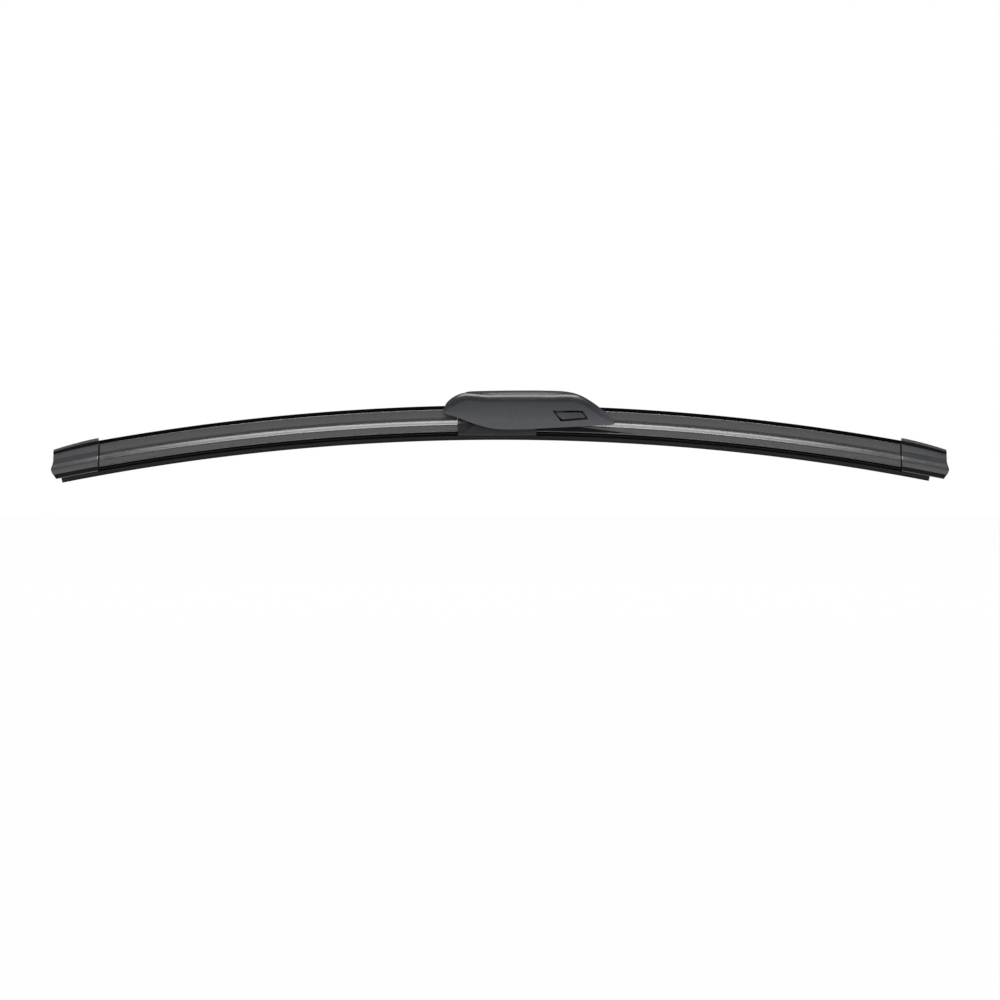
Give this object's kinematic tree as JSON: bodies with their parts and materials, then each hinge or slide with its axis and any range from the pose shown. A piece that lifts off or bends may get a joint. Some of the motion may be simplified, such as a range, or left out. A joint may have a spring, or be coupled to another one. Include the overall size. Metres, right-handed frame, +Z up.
{
  "type": "wiper blade",
  "caption": "Curved flat-beam wiper blade with spoiler, end caps, and a sculpted arm adapter that rocks on a pivot pin and lets go of the arm by squeezed side buttons.",
  "frame": {"origin": "on the arm's seat in the adapter body, straight over the pivot pin", "axes": "+X along the blade towards the adapter's tail, +Y to the far side, +Z up from the glass, out of the seat"},
  "size_m": [0.5458, 0.02, 0.0562],
  "materials": {
    "lip_rubber": "graphite-coated natural rubber",
    "spring_steel": "blank spring strip",
    "spoiler_plastic": "extruded, satin, with a soft black tip",
    "cap_plastic": "moulded, satin",
    "base_plastic": "moulded, satin",
    "pin_steel": "turned",
    "inner_plastic": "moulded",
    "cover_plastic": "moulded, fine grain",
    "tab_plastic": "moulded, fine grain"
  },
  "bodies": {
    "adapter": {"adapter_cover": "cover_plastic", "adapter_body": "inner_plastic"},
    "blade": {"wiper_rubber": "lip_rubber", "near_rail": "spring_steel", "far_rail": "spring_steel", "left_spoiler": "spoiler_plastic", "right_spoiler": "spoiler_plastic", "left_end_cap": "cap_plastic", "right_end_cap": "cap_plastic", "connector_base": "base_plastic", "pivot_pin": "pin_steel"},
    "near_tab": {"near_release_tab": "tab_plastic"},
    "far_tab": {"far_release_tab": "tab_plastic"}
  },
  "joints": [
    {"name": "blade_rock", "type": "hinge", "parent": "adapter", "child": "blade", "pos_m": [0, 0, -0.0078], "axis": [0, 1, 0], "range_deg": [-4, 4]},
    {"name": "near_release", "type": "hinge", "parent": "adapter", "child": "near_tab", "pos_m": [0.0366, -0.0066, -0.0026], "axis": [1, 0, 0], "range_deg": [0, 9], "stiffness_Nm_per_rad": 0.05},
    {"name": "far_release", "type": "hinge", "parent": "adapter", "child": "far_tab", "pos_m": [0.0366, 0.0066, -0.0026], "axis": [-1, 0, 0], "range_deg": [0, 9], "stiffness_Nm_per_rad": 0.05}
  ]
}
